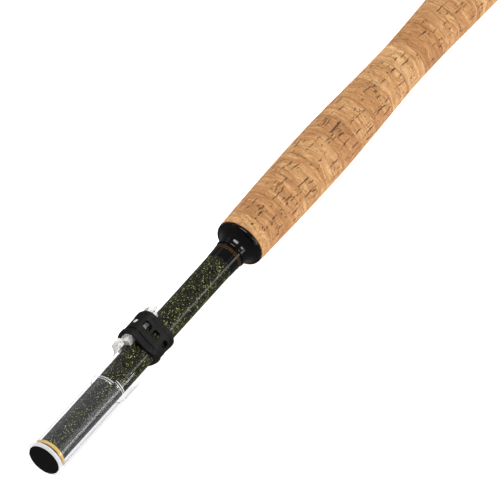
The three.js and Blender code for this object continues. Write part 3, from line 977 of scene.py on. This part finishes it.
        # post in the strap's first hole
        clear_bench()
        bpy.ops.mesh.primitive_cube_add(size=1, location=(at(76.6), 0, 9.8 * MM))
        post = bpy.context.object
        bpy.ops.object.mode_set(mode="EDIT")
        bpy.ops.mesh.select_all(action="SELECT")
        bpy.ops.transform.resize(value=(2.6 * MM, 2.3 * MM, 3.4 * MM))
        close_up(post)
        bpy.ops.object.transform_apply(location=True, rotation=True, scale=True)
        soften(post, 0.55, 3)
        settle(post, turn_by=-math.radians(23))
        combine(cover, post, "UNION")
        zones = [self.zone(face.center, face.normal) for face in cover.data.polygons]
        settle(cover, turn_by=TONGUE_TURN, lift=AXIS_Z)
        plastics = (
            clear_plastic("clear_plastic", 0.0), painted_light_plastic(), clear_plastic("scuffed_plastic", 0.07),
            clear_plastic("frosted_plastic", 0.30), thick_plastic(),
        )
        hand_over(cover, "cover", "clear_plastic", plastics, "cover_tube", smooth=38)
        for face, zone in zip(cover.data.polygons, zones):
            face.material_index = zone

        s0, s1 = ends("cover_ring")
        s0, s1 = s0 + 0.75, s1 + 0.45  # a little behind the end ring, as it shows through the wall
        outline = [(s0, 6.7), (s0, 7.25), (s0 + 0.15, 7.4), (s1 - 0.15, 7.4)]
        outline += [(s1, 7.25), (s1, 6.7), (s1 - 0.1, 6.6), (s0 + 0.1, 6.6)]
        ring = settle(turn("gold_ring", outline), turn_by=TONGUE_TURN, lift=AXIS_Z, drop=COVER_DROP)
        hand_over(ring, "cover", "gold_metal", polished_gold(), "cover_ring")
        return {"FINISHED"}


class ROD_OT_strap(RodStep, bpy.types.Operator):
    """Rubber strap: a band stretched over the saddle, with raised edges, a groove and a row of holes"""

    bl_idname = "rod.strap"
    bl_label = "Strap"

    FRONT = 67.8
    HOLE_ROW = 76.4

    def outline(self, small, large, corner, half):
        """Points round the band's inside: over the saddle, round its shoulders, straight down and round the rod."""
        def spot(radius, angle):
            return Vector((radius * math.sin(angle), radius * math.cos(angle)))

        centre = large - corner
        touch = half + math.acos((small - corner) / centre)
        middle = spot(centre, half)
        shoulder = [middle + spot(corner, half + (touch - half) * k / 8) for k in range(1, 9)]
        side = [shoulder[-1].lerp(spot(small, touch), t) for t in (0.33, 0.67)]
        span = 2 * math.pi - 2 * touch
        around = [spot(large, half * k / 8) for k in range(-8, 9)] + shoulder + side
        around += [spot(small, touch + span * k / 44) for k in range(45)]
        around += [Vector((-p.x, p.y)) for p in reversed(shoulder + side)]
        return around

    def execute(self, context):
        width, thick = size("strap_width"), size("strap_thickness")
        around = self.outline(6.5, 10.4, 2.6, math.radians(37))
        stations = (0, 1.5, 1.6, 3.7, 3.8, 5.8, width - 2.1, width)
        strap = draw_line("rubber_strap", [Vector((at(self.FRONT), p.x * MM, p.y * MM)) for p in around], True)
        for a, b in zip(stations, stations[1:]):
            bpy.ops.mesh.extrude_region_move(TRANSFORM_OT_translate={"value": Vector(((a - b) * MM, 0, 0))})
        close_up(strap)
        first = strap.data.polygons[0]
        outwards = first.normal.dot(Vector((0, first.center.y, first.center.z))) > 0
        outside = 1.0 if outwards else -1.0
        apply_modifier(strap, "SOLIDIFY", thickness=thick * MM, offset=outside, use_even_offset=True)

        def skin(s0, s1, turned=180.0):
            def wanted(c, n):
                s = (TIP - c.x) / MM - self.FRONT
                if not (s0 < s < s1) or abs(n.x) > 0.5 or n.y * c.y + n.z * c.z < 0:
                    return False
                return abs(math.degrees(math.atan2(c.y, c.z))) < turned
            return wanted

        # front lip, groove and rear lip: from, to, how far round to each side, and rise
        bands = ((0, 1.5, 180.1, 0.42), (1.6, 3.7, 116, -0.55), (width - 2.1, width, 180.1, 0.18))
        for s0, s1, turned, rise in bands:
            pick_faces(strap, skin(s0, s1, turned))
            bpy.ops.mesh.extrude_region_shrink_fatten(TRANSFORM_OT_shrink_fatten={"value": rise * MM})
            bpy.ops.object.mode_set(mode="OBJECT")
        for degrees in (23, 57, 88, 134, 180, 226, 272, 303, 337):
            round_square = []
            for k in range(32):
                a = 2 * math.pi * k / 32
                pull = MM / (abs(math.cos(a)) ** 4 + abs(math.sin(a)) ** 4) ** 0.25
                spot = (at(self.HOLE_ROW) + 1.85 * pull * math.cos(a), 1.7 * pull * math.sin(a), 2 * MM)
                round_square.append(Vector(spot))
            punch = plate("punch", round_square, Vector((0, 0, 14 * MM)))
            settle(punch, turn_by=-math.radians(degrees))
            combine(strap, punch, "DIFFERENCE")
        # the pull of the stretched band bows its front edge back at the saddle and under the rod
        for v in strap.data.vertices:
            bow = 2.4 * (v.co.z / (11.5 * MM)) ** 2 if v.co.z > 0 else 4.0 * (v.co.z / (7.65 * MM)) ** 2
            into = (TIP - v.co.x) / MM - self.FRONT
            v.co.x -= bow * MM * max(0, 1 - into / width)
        soften(strap, 0.2, 3, 40)
        settle(strap, turn_by=TONGUE_TURN, lift=AXIS_Z)
        hand_over(strap, "cover", "black_rubber", rubber(), "strap", smooth=42)
        return {"FINISHED"}


class ROD_OT_studio(RodStep, bpy.types.Operator):
    """Stage: pale floor, soft lights and the camera"""

    bl_idname = "rod.studio"
    bl_label = "Studio"

    def lamp(self, name, towards, distance, width, height, power, seen=True, around=(0.05, 0, 0.01)):
        """A soft box in a direction from the rod, facing it, its width along the rod. Fills aren't seen in gloss."""
        data = bpy.data.lights.new(name, "AREA")
        data.shape = "RECTANGLE"
        data.size, data.size_y = width, height
        data.energy = power
        obj = bpy.data.objects.new(name, data)
        obj.visible_glossy = seen
        bpy.context.scene.collection.objects.link(obj)
        back = Vector(towards).normalized()
        obj.location = Vector(around) + back * distance
        side = (Vector((1, 0, 0)) - back * back.x).normalized()
        up = back.cross(side)
        obj.rotation_euler = Matrix((side, up, back)).transposed().to_euler()

    def execute(self, context):
        clear_bench()
        bpy.ops.mesh.primitive_plane_add(size=9, location=(0, 0, 0))
        floor = context.object
        floor.name = "studio_floor"
        material, tree, shader = fresh("studio_floor")
        haze = noise(tree, grid(tree), 0.004, 2)
        tree.links.new(slope(tree, haze, (0.0, 1.0), (0.90, 0.93)), shader.inputs["Base Color"])
        dial(shader, "Roughness", 0.9)
        dial(shader, "Specular IOR Level", 0.0)
        dial(shader, "Emission Color", (1, 1, 1, 1))
        dial(shader, "Emission Strength", 0.9)
        floor.data.materials.append(material)
        floor.visible_glossy = False

        world = context.scene.world or bpy.data.worlds.new("World")
        context.scene.world = world
        world.use_nodes = True
        background = world.node_tree.nodes["Background"]
        background.inputs["Color"].default_value = (1.0, 0.99, 0.97, 1)
        background.inputs["Strength"].default_value = 0.15
        self.lamp("overhead", (0.10, 0.10, 0.99), 2.2, 2.6, 2.6, 14, seen=False)
        self.lamp("left_fill", (-0.10, -0.90, 0.42), 2.0, 2.0, 1.2, 13, seen=False)
        self.lamp("right_fill", (0.10, 0.90, 0.42), 2.0, 2.0, 1.2, 1.5, seen=False)
        self.lamp("strip", (-0.52, 0.668, 0.529), 1.6, 1.7, 0.08, 0.5)
        self.lamp("low_strip", (-0.52, 0.837, 0.162), 1.6, 1.7, 0.30, 6.5)
        self.lamp("left_strip", (-0.52, -0.665, 0.538), 1.6, 1.7, 0.3, 0.8)
        self.lamp("key", (-0.10, 0.01, 0.99), 1.6, 0.34, 0.95, 15)
        self.lamp("second_key", (-0.15, 0.83, 0.54), 1.6, 0.22, 0.5, 4.0)

        data = bpy.data.cameras.new("camera")
        data.sensor_width = 36
        data.lens = 1384
        data.clip_start = 1.0
        data.clip_end = 90
        camera = bpy.data.objects.new("camera", data)
        context.scene.collection.objects.link(camera)
        look_from = Vector((0.520, 0.362, 0.774)).normalized()
        aside = Vector((0, 0.906, -0.423))  # across the rod, to the right and down in the picture
        target = Vector((at(142.3), 0, AXIS_Z)) + aside * 5.1 * MM
        camera.location = target + look_from * CAMERA_DISTANCE
        camera.rotation_euler = (-look_from).to_track_quat("-Z", "Y").to_euler()
        camera.rotation_euler.rotate_axis("Z", 0.0033)
        context.scene.camera = camera
        context.scene.view_settings.view_transform = "Standard"
        return {"FINISHED"}


class ROD_PT_panel(bpy.types.Panel):
    """Lists the rod's sizes, colours and pieces"""

    bl_idname = "ROD_PT_panel"
    bl_label = "Telescopic Rod"
    bl_space_type = "VIEW_3D"
    bl_region_type = "UI"
    bl_category = "Rod"

    def draw(self, context):
        column = self.layout.column(align=True)
        for step in STEPS:
            column.operator(step.bl_idname)
        for group in (context.scene.rod_sizes, context.scene.rod_colours):
            box = self.layout.box()
            for name in group.__annotations__:
                box.prop(group, name)


STEPS = (
    ROD_OT_base_section,
    ROD_OT_wrap,
    ROD_OT_winding_check,
    ROD_OT_handle,
    ROD_OT_butt_end,
    ROD_OT_sections,
    ROD_OT_plug,
    ROD_OT_cover,
    ROD_OT_strap,
    ROD_OT_studio,
)
CLASSES = (RodSizes, RodColours, *STEPS, ROD_PT_panel)


def register():
    for cls in CLASSES:
        bpy.utils.register_class(cls)
    bpy.types.Scene.rod_sizes = PointerProperty(type=RodSizes)
    bpy.types.Scene.rod_colours = PointerProperty(type=RodColours)


def unregister():
    del bpy.types.Scene.rod_colours
    del bpy.types.Scene.rod_sizes
    for cls in reversed(CLASSES):
        bpy.utils.unregister_class(cls)


def main():
    register()
    bpy.ops.rod.base_section()
    bpy.ops.rod.wrap()
    bpy.ops.rod.winding_check()
    bpy.ops.rod.handle()
    bpy.ops.rod.butt_end()
    bpy.ops.rod.sections()
    bpy.ops.rod.plug()
    bpy.ops.rod.cover()
    bpy.ops.rod.strap()
    bpy.ops.rod.studio()


if __name__ == "__main__":
    main()
